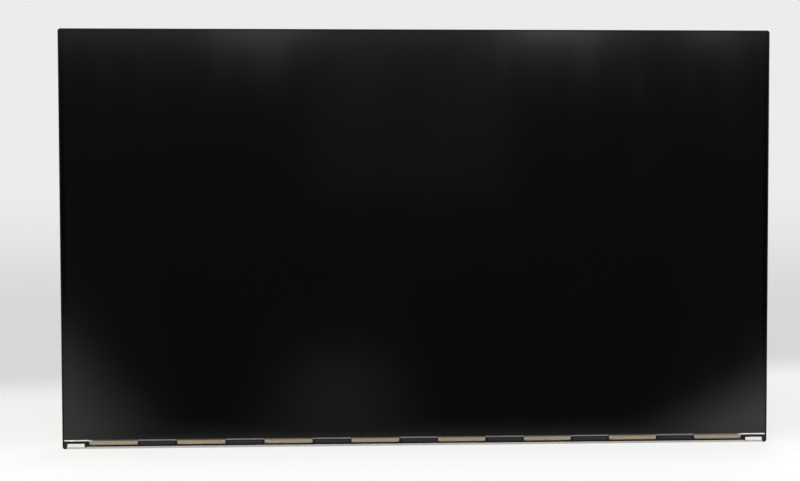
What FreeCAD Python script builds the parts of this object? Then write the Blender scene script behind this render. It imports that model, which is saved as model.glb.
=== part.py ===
import FreeCAD, Part
import os
from math import sqrt

# A flat display module that is fixed by its back, standing upright.
# X runs across the screen, Y from the viewer to the back, Z up.
# The origin is the middle of the four rear screw holes, on the faces they seat on. Lengths are millimetres.

Vec = FreeCAD.Vector

# Picture area and glass cell
active_width = 527.04
active_height = 296.46
side_border = 2.98
top_border = 3.0
bottom_border = 6.99
contact_ledge = 2.25         # array glass left bare below the colour filter glass
glass_t = 0.5
front_polarizer_t = 0.22
rear_polarizer_t = 0.16
front_polarizer_inset = 0.3
rear_polarizer_inset = 0.6

# Driver films and chips
film_count = 8
fan_out_inset = 2.2          # the films share the picture width less this
film_width = 36.0
film_t = 0.1
film_bond = 1.2              # length of film stuck to the array glass
film_board_bond = 2.2        # length of film stuck to the source board
film_low = 1.5               # lowest point of the films above the bottom edge
film_straight = 0.8          # free film between the glass edge and the bend
chip_length = 24.0
chip_height = 1.6
chip_t = 0.4

# Mid frame
corner_radius = 2.0
frame_wall = 0.8
frame_proud = 0.15           # the frame stands in front of the polarizer face by this
cell_gap = 0.2
ledge_t = 0.8
ledge_width = 2.4
window_margin = 0.6          # bottom of the frame window below the picture
array_lift = 4.5             # lower edge of the array glass above the bottom edge
stop_gap = 0.2
rail_height = 2.75
block_height = 5.7
block_lip_gap = 0.12         # between the block lips and the bare ledge
block_step = 1.6             # set-back ends of the blocks, beside the films
block_step_depth = 0.3
film_slot_gap = 0.3          # beside each film
film_gap = 0.15              # between the rail and the bent film
floor_gap = 0.3              # between the rail floor and the lowest film
skirt_t = 0.8
skirt_gap = 0.1
panel_tape_t = 0.2
panel_tape_inset = 0.7
panel_tape_width = 1.6
panel_tape_bottom_width = 4.6
panel_tape_break = 0.4

# Snap lugs along the skirt and the windows that they catch in
side_lugs = 3
top_lugs = 5
lug_length = 11.0
lug_rise = 0.7
lug_depth = 1.4
lug_flat = 0.5
lug_play = 0.3

# White pads on the bottom corners
pad_width = 12.7
pad_height = 2.5
pad_t = 0.5
pad_edge = 3.7               # from the side edge of the module
pad_lift = 1.4
pad_seat_gap = 0.05
pad_proud = 0.05

# Light unit
guide_t = 2.5
guide_gap = 0.7
reflector_t = 0.2
diffuser_t = 0.2
prism_t = 0.22
reflective_t = 0.28
sheet_gap = 0.1
sheet_top_inset = 0.5        # sheets stop this far inside the light guide at the top
sheet_bottom_inset = 0.3
ear_width = 16.0
ear_height = 0.6
ear_spread = 180.0           # each ear from the middle
led_count = 48
led_length = 7.0
led_depth = 2.0
led_height = 0.8
led_gap = 0.3
led_board_t = 0.8
led_board_gap = 0.1
led_tape_t = 0.15
guide_stop_length = 5.0
guide_stop_gap = 0.2
tail_width = 7.0
tail_t = 0.1
tail_bend = 0.8
tail_film_gap = 1.2          # between the last driver film and the tail
tail_led_gap = 2.9           # the row of LEDs stops short of the tail by this
tail_slot_gap = 0.35
tail_landing = 3.0           # length of tail stuck to the source board
tail_root = 2.4              # length of tail stuck to the LED board

# Back cover
back_t = 0.8
back_edge_radius = 0.9
corner_relief = 2.2          # open corners, where the folded walls stop short of each other
tray_gap = 0.1
seat_rise = 1.6
seat_width = 36.0
seat_height = 28.0
seat_cut = 6.0               # cut corners of the screw seats
mount_edge = 27.5            # screw holes from the side edges
mount_spacing_z = 200.0
mount_above_cover = 26.0     # lower screw holes above the feet of the board cover
mount_hole_radius = 1.25
collar_radius = 2.1
collar_length = 1.9
bead_rise = 1.0
bead_width = 10.0
bead_cut = 3.0
bead_gap = 16.0              # between the end of a bead and the next bead
bead_seat_gap = 10.0
bead_top_margin = 30.0
bead_bottom_gap = 22.0       # lowest bead above the feet of the board cover
bar_offset = 72.0            # inner upright beads from the middle
rung_count = 3               # level beads on each side, between the upright ones

# Source board
board_tape_t = 0.25
board_t = 0.8
board_height = 20.0
board_cut = 1.0
board_end_gap = 4.0          # board past the outer side of the LED tail
board_edge_gap = 0.15        # board edge above the bend of the LED tail

# Board cover
cover_t = 0.3
cover_bend = 0.45
cover_depth = 3.4            # room behind the back cover
cover_height = 31.0
cover_end = 3.0              # cover stops this far inside each side
cover_gap = 0.1
lip_height = 1.6
lip_low_gap = 0.15           # low lip under the white pads
flange_gap = 0.2
cover_beads = 4
cover_bead_rise = 0.5
cover_bead_height = 8.0
cover_bead_cut = 2.4
cover_bead_lift = 7.0
cover_bead_gap = 16.0
cover_bead_end = 20.0
liner_t = 0.1
liner_margin = 1.5
foot_count = 4
foot_width = 12.0
foot_height = 8.0
foot_cut = 2.0
foot_relief = 0.6
foot_pad_rise = 1.0
foot_pad_margin = 1.5        # pressed pad past the sides and the tip of a foot
foot_pad_gap = 0.3
foot_pad_cut = 2.0
notch_gap = 4.0
notch_below = 1.4

# Cover screws
screw_radius = 1.0
screw_length = 1.8
screw_head_radius = 2.0
screw_head_height = 0.8
screw_fit = 0.05
recess_width = 0.45
recess_length = 2.0
recess_depth = 0.45

# Connectors and board parts
signal_length = 36.0
signal_height = 5.2
signal_depth = 2.3
signal_mouth_length = 32.0
signal_mouth_gap = 1.3
signal_tongue_t = 0.5
signal_contact_count = 30
signal_contact_pitch = 1.0
led_plug_length = 13.0
led_plug_height = 5.6
led_plug_depth = 2.3
led_plug_wall = 0.5
led_pin_count = 6
led_pin_size = 0.4
mouth_depth = 3.4
connector_overhang = 0.6
contact_width = 0.35
contact_length = 0.9
contact_t = 0.12
tab_t = 0.2                  # tabs that hold the ends of the signal connector
tab_length = 2.2
tab_width = 2.6
tab_height = 1.6
tab_lift = 1.2
timing_size = 12.0
timing_t = 1.0
power_size = 7.0
power_t = 0.9
memory_length = 5.0
memory_width = 4.0
memory_t = 1.5
coil_size = 5.0
coil_t = 1.9
capacitor_count = 14
capacitor_length = 2.0
capacitor_width = 1.25
capacitor_edge = 2.2
part_spacing = 26.0

# Widths
half_cell = active_width / 2 + side_border
half_width = half_cell + cell_gap + frame_wall
half_skirt = half_width - back_t - skirt_gap
half_guide = half_skirt - skirt_t - guide_gap
half_window = half_cell - ledge_width
half_cover = half_width - cover_end
half_stop = min(half_skirt - skirt_t, half_width - corner_relief) - guide_stop_gap
half_led_board = half_stop - guide_stop_length - guide_stop_gap
mount_spacing_x = 2 * (half_width - mount_edge)
film_pitch = (active_width - fan_out_inset) / film_count
half_slot = film_width / 2 + film_slot_gap
last_film_edge = (film_count - 1) / 2 * film_pitch + film_width / 2
tail_inner = last_film_edge + tail_film_gap
tail_outer = tail_inner + tail_width
half_led_row = tail_inner - tail_led_gap
half_board = tail_outer + board_end_gap

# Depths, from the back to the front
y_seat = 0.0
y_plate_back = y_seat - seat_rise
y_plate_front = y_plate_back - back_t
y_reflector = y_plate_front - reflector_t
y_guide = y_reflector - guide_t
y_diffuser = y_guide - diffuser_t
y_prism = y_diffuser - prism_t
y_reflective = y_prism - reflective_t
y_ledge_back = y_reflective - sheet_gap
y_ledge_front = y_ledge_back - ledge_t
y_panel_tape = y_ledge_front - panel_tape_t
y_rear_polarizer = y_panel_tape - rear_polarizer_t
y_array = y_rear_polarizer - glass_t
y_filter = y_array - glass_t
y_front = y_filter - front_polarizer_t
y_frame = y_front - frame_proud
y_tray = y_ledge_back + tray_gap
y_board_front = y_plate_back + board_tape_t
y_board = y_board_front + board_t
y_cover_inside = y_plate_back + cover_depth
y_cover = y_cover_inside + cover_t
y_foot = y_plate_back + foot_pad_rise
y_lip_back = y_frame + cover_t
y_block_lip = y_array - block_lip_gap

# Heights
cover_reach = cover_height + foot_height
z_bottom = -(mount_spacing_z / 2 + mount_above_cover + cover_reach)
z_array = z_bottom + array_lift
z_filter = z_array + contact_ledge
z_active = z_filter + bottom_border
z_cell_top = z_active + active_height + top_border
z_top = z_cell_top + cell_gap + frame_wall
z_stop = z_array - stop_gap
z_rail = z_bottom + rail_height
z_block = z_bottom + block_height
z_film_low = z_bottom + film_low
z_frame_floor = z_film_low - floor_gap
film_bend = array_lift - film_low - film_straight
z_bend = z_film_low + film_bend
z_tray_floor = z_stop + back_t
z_led_board = z_tray_floor + led_tape_t
z_tail = z_led_board + led_board_t
z_guide = z_tail + led_height + led_gap
z_guide_top = z_top - (half_width - half_guide)
z_window = z_active - window_margin
z_window_top = z_cell_top - ledge_width
z_board = z_tail + tail_bend + board_edge_gap
z_cover_top = z_bottom + cover_height
z_screw = z_cover_top + foot_height / 2
z_pad = z_bottom + pad_lift
z_feet_top = z_bottom + cover_reach

# The rail fills the room in front of the film, where the film has begun to bend away.
y_film_front = y_array - film_t
film_drop = z_bend - z_rail
y_rail = y_film_front + film_bend - sqrt(film_bend ** 2 - film_drop ** 2) - film_gap

film_places = [(i - (film_count - 1) / 2) * film_pitch for i in range(film_count)]
foot_span = 2 * (half_width - mount_edge)
foot_places = [foot_span * (i / (foot_count - 1) - 0.5) for i in range(foot_count)]
signal_x = (foot_places[0] + foot_places[1]) / 2
led_plug_x = (foot_places[2] + foot_places[3]) / 2
mount_places = [(x, z) for x in (-mount_spacing_x / 2, mount_spacing_x / 2)
                for z in (-mount_spacing_z / 2, mount_spacing_z / 2)]


def slab(x0, x1, y0, y1, z0, z1):
    return Part.makeBox(x1 - x0, y1 - y0, z1 - z0, Vec(x0, y0, z0))


def round_corner(x, y, z, towards_x, towards_z, radius):
    # Quarter arc from the upright side to the level side of the corner at x, z.
    bulge = radius * (1 - sqrt(0.5))
    start = Vec(x, y, z + towards_z * radius)
    middle = Vec(x + towards_x * bulge, y, z + towards_z * bulge)
    end = Vec(x + towards_x * radius, y, z)
    return Part.Arc(start, middle, end).toShape()


def rounded_wire(x0, x1, z0, z1, radius, y):
    corners = [round_corner(x0, y, z0, 1, 1, radius), round_corner(x1, y, z0, -1, 1, radius),
               round_corner(x1, y, z1, -1, -1, radius), round_corner(x0, y, z1, 1, -1, radius)]
    sides = [Part.makeLine(Vec(x0 + radius, y, z0), Vec(x1 - radius, y, z0)),
             Part.makeLine(Vec(x1, y, z0 + radius), Vec(x1, y, z1 - radius)),
             Part.makeLine(Vec(x1 - radius, y, z1), Vec(x0 + radius, y, z1)),
             Part.makeLine(Vec(x0, y, z1 - radius), Vec(x0, y, z0 + radius))]
    edges = [edge for pair in zip(corners, sides) for edge in pair]
    return Part.Wire(Part.__sortEdges__(edges))


def rounded_plate(x0, x1, z0, z1, radius, y0, y1):
    return Part.Face(rounded_wire(x0, x1, z0, z1, radius, y0)).extrude(Vec(0, y1 - y0, 0))


def cut_corner_wire(x0, x1, z0, z1, cut, y):
    points = [Vec(x0 + cut, y, z0), Vec(x1 - cut, y, z0), Vec(x1, y, z0 + cut), Vec(x1, y, z1 - cut),
              Vec(x1 - cut, y, z1), Vec(x0 + cut, y, z1), Vec(x0, y, z1 - cut), Vec(x0, y, z0 + cut)]
    return Part.makePolygon(points + points[:1])


def pressing(x0, x1, z0, z1, cut, y, rise, shrink):
    # A pressed pad or bead with 45 degree walls, or with shrink the hollow on its inner side.
    outlines = []
    for inset, level in ((shrink, y), (shrink + rise, y + rise)):
        inner_cut = cut - inset * (2 - sqrt(2))
        outlines.append(cut_corner_wire(x0 + inset, x1 - inset, z0 + inset, z1 - inset, inner_cut, level))
    return Part.makeLoft(outlines, True, True)


def hollow_inset(sheet_t):
    # How far the inner side of a 45 degree wall stands in, for a sheet of even thickness.
    return sheet_t * (sqrt(2) - 1)


def upright_pin(x, z, radius, y0, y1):
    return Part.makeCylinder(radius, y1 - y0, Vec(x, y0, z), Vec(0, 1, 0))


def bent_sheet(corners, bend, thickness, x0, x1):
    # A folded sheet. The corners are y, z points of its middle surface, and bend is the radius there.
    points = [Vec(x0, y, z) for y, z in corners]
    across = Vec(1, 0, 0)
    sides = []
    for offset in (thickness / 2, -thickness / 2):
        edges = []
        heading = (points[1] - points[0]).normalize()
        place = points[0] + across.cross(heading) * offset
        for before, corner, after in zip(points, points[1:], points[2:]):
            d1 = (corner - before).normalize()
            d2 = (after - corner).normalize()
            turn = 1 if d1.cross(d2).dot(across) > 0 else -1
            setback = bend * sqrt((1 - d1.dot(d2)) / (1 + d1.dot(d2)))
            start = corner - d1 * setback
            centre = start + across.cross(d1) * (turn * bend)
            arc_start = start + across.cross(d1) * offset
            arc_end = corner + d2 * setback + across.cross(d2) * offset
            arc_middle = centre + (corner - centre).normalize() * (bend - turn * offset)
            edges.append(Part.makeLine(place, arc_start))
            edges.append(Part.Arc(arc_start, arc_middle, arc_end).toShape())
            place = arc_end
        heading = (points[-1] - points[-2]).normalize()
        edges.append(Part.makeLine(place, points[-1] + across.cross(heading) * offset))
        sides.append(edges)
    caps = [Part.makeLine(sides[0][i].Vertexes[i].Point, sides[1][i].Vertexes[i].Point) for i in (0, -1)]
    wire = Part.Wire(Part.__sortEdges__(sides[0] + sides[1] + caps))
    return Part.Face(wire).extrude(Vec(x1 - x0, 0, 0))


def pane(half, z0, z1, y0, y1):
    return slab(-half, half, y0, y1, z0, z1)


def front_polarizer():
    half = half_cell - front_polarizer_inset
    return pane(half, z_filter + front_polarizer_inset, z_cell_top - front_polarizer_inset,
                y_front, y_filter)


def rear_polarizer():
    half = half_cell - rear_polarizer_inset
    return pane(half, z_array + rear_polarizer_inset, z_cell_top - rear_polarizer_inset,
                y_rear_polarizer, y_panel_tape)


def driver_film(x):
    y_glass_side = y_array - film_t / 2
    y_board_side = y_board + film_t / 2
    z_run = z_film_low + film_t / 2
    path = [(y_glass_side, z_array + film_bond), (y_glass_side, z_run),
            (y_board_side, z_run), (y_board_side, z_board + film_board_bond)]
    return bent_sheet(path, film_bend - film_t / 2, film_t, x - film_width / 2, x + film_width / 2)


def driver_chip(x):
    z_middle = (z_bend + z_board) / 2
    return slab(x - chip_length / 2, x + chip_length / 2, y_board - chip_t, y_board,
                z_middle - chip_height / 2, z_middle + chip_height / 2)


def panel_tape():
    outer = half_cell - panel_tape_inset
    inner = outer - panel_tape_width
    z0 = z_array + panel_tape_inset
    z1 = z_cell_top - panel_tape_inset
    between = inner - panel_tape_break
    strips = [slab(-outer, -inner, y_panel_tape, y_ledge_front, z0, z1),
              slab(inner, outer, y_panel_tape, y_ledge_front, z0, z1),
              pane(between, z0, z0 + panel_tape_bottom_width, y_panel_tape, y_ledge_front),
              pane(between, z1 - panel_tape_width, z1, y_panel_tape, y_ledge_front)]
    return Part.makeCompound(strips)


def lug_sites():
    # Middle of each lug on the skirt face, which way it points, and which way it runs.
    sites = []
    for i in range(side_lugs):
        z = z_stop + (i + 1) * (z_top - z_stop) / (side_lugs + 1)
        sites.append((Vec(-half_skirt, 0, z), Vec(-1, 0, 0), Vec(0, 0, 1)))
        sites.append((Vec(half_skirt, 0, z), Vec(1, 0, 0), Vec(0, 0, 1)))
    z_skirt_top = z_top - back_t - skirt_gap
    for i in range(top_lugs):
        x = half_skirt * (2 * (i + 1) / (top_lugs + 1) - 1)
        sites.append((Vec(x, 0, z_skirt_top), Vec(0, 0, 1), Vec(1, 0, 0)))
    return sites


y_lug = (y_tray + y_plate_front - lug_depth) / 2


def snap_lug(place, out, along):
    # Flat at the front, where the window edge catches, and sloped at the back.
    start = place - along * (lug_length / 2)
    depth = Vec(0, 1, 0)
    profile = [start + depth * y_lug, start + depth * y_lug + out * lug_rise,
               start + depth * (y_lug + lug_flat) + out * lug_rise, start + depth * (y_lug + lug_depth)]
    return Part.Face(Part.makePolygon(profile + profile[:1])).extrude(along * lug_length)


def lug_window(place, out, along):
    length = lug_length + 2 * lug_play
    start = place - along * (length / 2) + Vec(0, y_lug - lug_play, 0)
    opening = Part.makePolygon([start, start + along * length,
                                start + along * length + Vec(0, lug_depth + 2 * lug_play, 0),
                                start + Vec(0, lug_depth + 2 * lug_play, 0), start])
    return Part.Face(opening).extrude(out * (2 * (back_t + skirt_gap)))


def film_slot(x):
    x0 = x - half_slot
    x1 = x + half_slot
    front = slab(x0, x1, y_frame, y_block_lip, z_rail, z_block)
    under = slab(x0, x1, y_frame, y_ledge_back, z_rail, z_stop)
    behind = slab(x0, x1, y_rail, y_ledge_back, z_frame_floor, z_stop)
    steps = slab(x0 - block_step, x1 + block_step, y_frame, y_frame + block_step_depth, z_rail, z_block)
    return front.fuse([under, behind, steps]).removeSplitter()


def pad_span(side):
    ends = sorted((side * (half_width - pad_edge), side * (half_width - pad_edge - pad_width)))
    return ends[0], ends[1]


def pad_pocket(side):
    x0, x1 = pad_span(side)
    return slab(x0 - pad_seat_gap, x1 + pad_seat_gap, y_frame, y_frame + pad_t - pad_proud,
                z_pad - pad_seat_gap, z_pad + pad_height + pad_seat_gap)


def corner_pad(side):
    x0, x1 = pad_span(side)
    y0 = y_frame - pad_proud
    return slab(x0, x1, y0, y0 + pad_t, z_pad, z_pad + pad_height)


half_full_lip = half_width - pad_edge - pad_width - cover_end / 2
z_low_lip = z_pad - pad_seat_gap - lip_low_gap


def cover_relief():
    # Room for the cover: its floor, its full lip, its low lip under the white pads, and its front fold.
    half = half_cover + cover_gap
    y_room = y_lip_back + cover_gap
    z_floor = z_bottom + cover_t + cover_gap
    floor = slab(-half, half, y_frame, y_ledge_back, z_bottom, z_floor)
    low = slab(-half, half, y_frame, y_room, z_bottom, z_low_lip + cover_gap)
    half_full = half_full_lip + cover_gap
    full = slab(-half_full, half_full, y_frame, y_room, z_bottom, z_bottom + lip_height + cover_gap)
    fold = Part.makePolygon([Vec(-half, y_room, z_floor), Vec(-half, y_room + cover_bend, z_floor),
                             Vec(-half, y_room, z_floor + cover_bend), Vec(-half, y_room, z_floor)])
    return [floor, low, full, Part.Face(fold).extrude(Vec(2 * half, 0, 0))]


def mid_frame():
    body = rounded_plate(-half_width, half_width, z_bottom, z_top, corner_radius, y_frame, y_ledge_back)
    half_pocket = half_cell + cell_gap
    z_pocket_top = z_cell_top + cell_gap
    cuts = [slab(-half_pocket, half_pocket, y_frame, y_block_lip, z_block, z_pocket_top),
            slab(-half_pocket, half_pocket, y_block_lip, y_ledge_front, z_stop, z_pocket_top),
            slab(-half_window, half_window, y_ledge_front, y_ledge_back, z_window, z_window_top)]
    cuts += [film_slot(x) for x in film_places]
    cuts += [pad_pocket(side) for side in (-1, 1)]
    cuts += cover_relief()
    body = body.cut(cuts)
    inset = half_width - half_skirt
    z_skirt = z_stop + corner_radius
    y_skirt = y_plate_front - skirt_gap
    skirt = rounded_plate(-half_skirt, half_skirt, z_stop, z_top - inset, corner_radius - inset,
                          y_ledge_back, y_skirt)
    half_room = half_skirt - skirt_t
    room = slab(-half_room, half_room, y_ledge_back, y_skirt, z_stop, z_top - inset - skirt_t)
    below = slab(-half_skirt, half_skirt, y_ledge_back, y_skirt, z_stop, z_skirt)
    skirt = skirt.cut([room, below])
    lugs = [snap_lug(*site) for site in lug_sites()]
    return body.fuse([skirt] + lugs).removeSplitter()


def optical_sheet(y0, y1):
    z1 = z_guide_top - sheet_top_inset
    sheet = pane(half_guide, z_guide + sheet_bottom_inset, z1, y0, y1)
    ears = [slab(x - ear_width / 2, x + ear_width / 2, y0, y1, z1, z1 + ear_height)
            for x in (-ear_spread, ear_spread)]
    return sheet.fuse(ears).removeSplitter()


def guide_stop(side):
    x0, x1 = sorted((side * half_stop, side * (half_stop - guide_stop_length)))
    return slab(x0, x1, y_guide, y_reflector, z_tray_floor, z_guide)


y_led_board = y_ledge_back + tray_gap + led_board_gap
y_led_back = y_plate_front - led_board_gap


def led_packages():
    pitch = 2 * half_led_row / led_count
    y_middle = (y_guide + y_reflector) / 2
    packages = []
    for i in range(led_count):
        x = (i + 0.5) * pitch - half_led_row
        packages.append(slab(x - led_length / 2, x + led_length / 2, y_middle - led_depth / 2,
                             y_middle + led_depth / 2, z_tail, z_tail + led_height))
    return Part.makeCompound(packages)


def led_tail():
    y_board_side = y_board + tail_t / 2
    z_run = z_tail + tail_t / 2
    path = [(y_led_back - tail_root, z_run), (y_board_side, z_run),
            (y_board_side, z_board + tail_landing)]
    return bent_sheet(path, tail_bend - tail_t / 2, tail_t, tail_inner, tail_outer)


def bead_spans():
    # Left, right, bottom and top of each bead: a frame of four, two inner uprights and the rungs.
    half = (mount_spacing_x - seat_width) / 2 - bead_seat_gap
    low = z_feet_top + bead_bottom_gap
    high = z_top - bead_top_margin
    reach = half - bead_width - bead_gap
    spans = [(-reach, reach, z, z + bead_width) for z in (low, high - bead_width)]
    z0 = low + bead_width + bead_gap
    z1 = high - bead_width - bead_gap
    half_bar = bead_width / 2
    for x in (half_bar - half, -bar_offset, bar_offset, half - half_bar):
        spans.append((x - half_bar, x + half_bar, z0, z1))
    rung_start = bar_offset + half_bar + bead_gap
    for i in range(rung_count):
        z = z0 + (i + 0.5) * (z1 - z0) / rung_count
        spans.append((-reach, -rung_start, z - half_bar, z + half_bar))
        spans.append((rung_start, reach, z - half_bar, z + half_bar))
    return spans


def pressings(y, shrink):
    shapes = [pressing(*span, bead_cut, y, bead_rise, shrink) for span in bead_spans()]
    for x, z in mount_places:
        shapes.append(pressing(x - seat_width / 2, x + seat_width / 2, z - seat_height / 2,
                               z + seat_height / 2, seat_cut, y, seat_rise, shrink))
    half = foot_width / 2 + foot_pad_margin
    for x in foot_places:
        shapes.append(pressing(x - half, x + half, z_cover_top + foot_pad_gap, z_feet_top + foot_pad_margin,
                               foot_pad_cut, y, foot_pad_rise, shrink))
    return shapes


def tray():
    block = slab(-half_width, half_width, y_tray, y_plate_back, z_stop, z_top)
    rim = [edge for edge in block.Edges if all(abs(v.Y - y_plate_back) < 1e-6 for v in edge.Vertexes)]
    block = block.makeFillet(back_edge_radius, rim)
    inner = half_width - back_t
    hollow = slab(-inner, inner, y_tray, y_plate_front, z_tray_floor, z_top - back_t)
    corners = [slab(x, x + corner_relief, y_tray, y_plate_back, z, z + corner_relief)
               for x in (-half_width, half_width - corner_relief) for z in (z_stop, z_top - corner_relief)]
    return block.cut([hollow] + corners)


def back_cover():
    cover = tray().fuse(pressings(y_plate_back, 0.0))
    cover = cover.cut(pressings(y_plate_front, hollow_inset(back_t)))
    collars = [upright_pin(x, z, collar_radius, y_seat - collar_length, y_seat - back_t)
               for x, z in mount_places]
    cover = cover.fuse(collars)
    cuts = [upright_pin(x, z, mount_hole_radius, y_seat - collar_length, y_seat) for x, z in mount_places]
    cuts += [upright_pin(x, z_screw, screw_radius + screw_fit, y_foot - back_t, y_foot) for x in foot_places]
    cuts += [lug_window(*site) for site in lug_sites()]
    cuts.append(slab(tail_inner - tail_slot_gap, tail_outer + tail_slot_gap,
                     y_plate_front, y_plate_back, z_tail - tail_slot_gap, z_tail + tail_t + tail_slot_gap))
    return cover.cut(cuts).removeSplitter()


def source_board():
    outline = cut_corner_wire(-half_board, half_board, z_board, z_board + board_height, board_cut,
                              y_board_front)
    return Part.Face(outline).extrude(Vec(0, board_t, 0))


def board_tape():
    return pane(half_board, z_board, z_board + board_height, y_plate_back, y_board_front)


z_board_top = z_board + board_height
z_board_middle = z_board + board_height / 2
z_connector_top = z_board_top + connector_overhang


def signal_connector():
    # A low wafer with a wide mouth and a contact tongue, open upwards.
    x0 = signal_x - signal_length / 2
    body = slab(x0, x0 + signal_length, y_board, y_board + signal_depth,
                z_connector_top - signal_height, z_connector_top)
    m0 = signal_x - signal_mouth_length / 2
    m1 = signal_x + signal_mouth_length / 2
    y_mouth = y_board + (signal_depth - signal_mouth_gap) / 2
    y_tongue = y_board + (signal_depth - signal_tongue_t) / 2
    z_mouth = z_connector_top - mouth_depth
    mouth = slab(m0, m1, y_mouth, y_mouth + signal_mouth_gap, z_mouth, z_connector_top)
    tongue = slab(m0, m1, y_tongue, y_tongue + signal_tongue_t, z_mouth, z_connector_top)
    return body.cut(mouth).fuse(tongue).removeSplitter()


def contact_tails(x_middle, count, pitch, z_root):
    # Solder tails, flat on the board below a connector.
    tails = []
    for i in range(count):
        x0 = x_middle + (i - (count - 1) / 2) * pitch - contact_width / 2
        tails.append(slab(x0, x0 + contact_width, y_board, y_board + contact_t,
                          z_root - contact_length, z_root))
    return tails


def signal_contacts():
    return Part.makeCompound(contact_tails(signal_x, signal_contact_count, signal_contact_pitch,
                                           z_connector_top - signal_height))


def signal_tabs():
    z0 = z_connector_top - signal_height + tab_lift
    tabs = []
    for side in (-1, 1):
        x_end = signal_x + side * signal_length / 2
        x0, x1 = sorted((x_end, x_end + side * tab_length))
        foot = slab(x0, x1, y_board, y_board + tab_t, z0, z0 + tab_width)
        x0, x1 = sorted((x_end, x_end + side * tab_t))
        upright = slab(x0, x1, y_board, y_board + tab_height, z0, z0 + tab_width)
        tabs.append(foot.fuse(upright).removeSplitter())
    return Part.makeCompound(tabs)


led_pin_pitch = (led_plug_length - 2 * led_plug_wall) / led_pin_count


def led_connector():
    # An open box that is moulded round a row of pins.
    x0 = led_plug_x - led_plug_length / 2
    body = slab(x0, x0 + led_plug_length, y_board, y_board + led_plug_depth,
                z_connector_top - led_plug_height, z_connector_top)
    z_mouth = z_connector_top - mouth_depth
    mouth = slab(x0 + led_plug_wall, x0 + led_plug_length - led_plug_wall, y_board + led_plug_wall,
                 y_board + led_plug_depth - led_plug_wall, z_mouth, z_connector_top)
    return body.cut(mouth)


def led_contacts():
    y_pin = y_board + (led_plug_depth - led_pin_size) / 2
    z_mouth = z_connector_top - mouth_depth
    contacts = contact_tails(led_plug_x, led_pin_count, led_pin_pitch, z_connector_top - led_plug_height)
    for i in range(led_pin_count):
        x0 = led_plug_x + (i - (led_pin_count - 1) / 2) * led_pin_pitch - led_pin_size / 2
        contacts.append(slab(x0, x0 + led_pin_size, y_pin, y_pin + led_pin_size,
                             z_mouth, z_connector_top - led_plug_wall))
    return Part.makeCompound(contacts)


def board_chip(x, length, width, thickness):
    return slab(x - length / 2, x + length / 2, y_board, y_board + thickness,
                z_board_middle - width / 2, z_board_middle + width / 2)


def coils():
    return Part.makeCompound([board_chip(x, coil_size, coil_size, coil_t)
                              for x in (2 * part_spacing, 2 * part_spacing + 2 * coil_size)])


def capacitors():
    first = signal_x + signal_length / 2 + notch_gap + capacitor_length
    last = led_plug_x - led_plug_length / 2 - notch_gap - capacitor_length
    z0 = z_board_top - capacitor_edge
    row = []
    for i in range(capacitor_count):
        x0 = first + (last - first) * i / (capacitor_count - 1) - capacitor_length / 2
        row.append(slab(x0, x0 + capacitor_length, y_board, y_board + capacitor_width,
                        z0 - capacitor_width, z0))
    return Part.makeCompound(row)


def connector_notches(y0, y1, widen):
    connectors = [(signal_x, signal_length, signal_height), (led_plug_x, led_plug_length, led_plug_height)]
    notches = []
    for x, length, height in connectors:
        half = length / 2 + notch_gap + widen
        notches.append(slab(x - half, x + half, y0, y1, z_connector_top - height - notch_below - widen,
                            z_cover_top + foot_height))
    return notches


def cover_liner():
    # Insulating film stuck inside the cover.
    y_liner = y_cover_inside - liner_t
    sheet = pane(half_board, z_board, z_cover_top - cover_t - liner_margin, y_liner, y_cover_inside)
    return sheet.cut(connector_notches(y_liner, y_cover_inside, liner_margin))


def cover_foot(x):
    half = foot_width / 2
    plate = slab(x - half, x + half, y_foot, y_foot + cover_t, z_cover_top - cover_t, z_feet_top)
    tips = [edge for edge in plate.Edges
            if all(abs(v.Z - z_feet_top) < 1e-6 for v in edge.Vertexes)
            and abs(edge.Vertexes[0].X - edge.Vertexes[1].X) < 1e-6]
    return plate.makeChamfer(foot_cut, tips)


def cover_bead(number, y, shrink):
    length = (2 * (half_cover - cover_bead_end) - (cover_beads - 1) * cover_bead_gap) / cover_beads
    x0 = cover_bead_end - half_cover + number * (length + cover_bead_gap)
    z0 = z_bottom + cover_bead_lift
    return pressing(x0, x0 + length, z0, z0 + cover_bead_height, cover_bead_cut, y, cover_bead_rise, shrink)


def board_cover():
    # One folded sheet: front lip, floor under the films, back, top flange, feet and closed ends.
    half_t = cover_t / 2
    y_flange = y_plate_back + flange_gap
    path = [(y_frame + half_t, z_bottom + lip_height), (y_frame + half_t, z_bottom + half_t),
            (y_cover - half_t, z_bottom + half_t), (y_cover - half_t, z_cover_top - half_t),
            (y_flange, z_cover_top - half_t)]
    sheet = bent_sheet(path, cover_bend, cover_t, -half_cover, half_cover)
    low_lips = [slab(-half_cover, -half_full_lip, y_frame, y_lip_back, z_low_lip, z_bottom + lip_height),
                slab(half_full_lip, half_cover, y_frame, y_lip_back, z_low_lip, z_bottom + lip_height)]
    half_relief = foot_width / 2 + foot_relief
    reliefs = [slab(x - half_relief, x + half_relief, y_flange, y_foot, z_cover_top - cover_t, z_cover_top)
               for x in foot_places]
    sheet = sheet.cut(low_lips + reliefs)
    ends = [slab(x, x + cover_t, y_flange, y_cover - cover_bend, z_board, z_cover_top - cover_bend)
            for x in (-half_cover, half_cover - cover_t)]
    webs = [slab(x, x + cover_t, y_flange, y_cover - half_t, z_board, z_cover_top - half_t)
            for x in (-half_cover, half_cover - cover_t)]
    beads = [cover_bead(i, y_cover, 0.0) for i in range(cover_beads)]
    hollows = [cover_bead(i, y_cover_inside, hollow_inset(cover_t)) for i in range(cover_beads)]
    sheet = sheet.fuse(ends + webs + beads + [cover_foot(x) for x in foot_places]).cut(hollows)
    holes = [upright_pin(x, z_screw, screw_radius + screw_fit, y_foot, y_foot + cover_t)
             for x in foot_places]
    notches = connector_notches(y_flange, y_cover, 0.0)
    return sheet.cut(holes + notches).removeSplitter()


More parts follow.
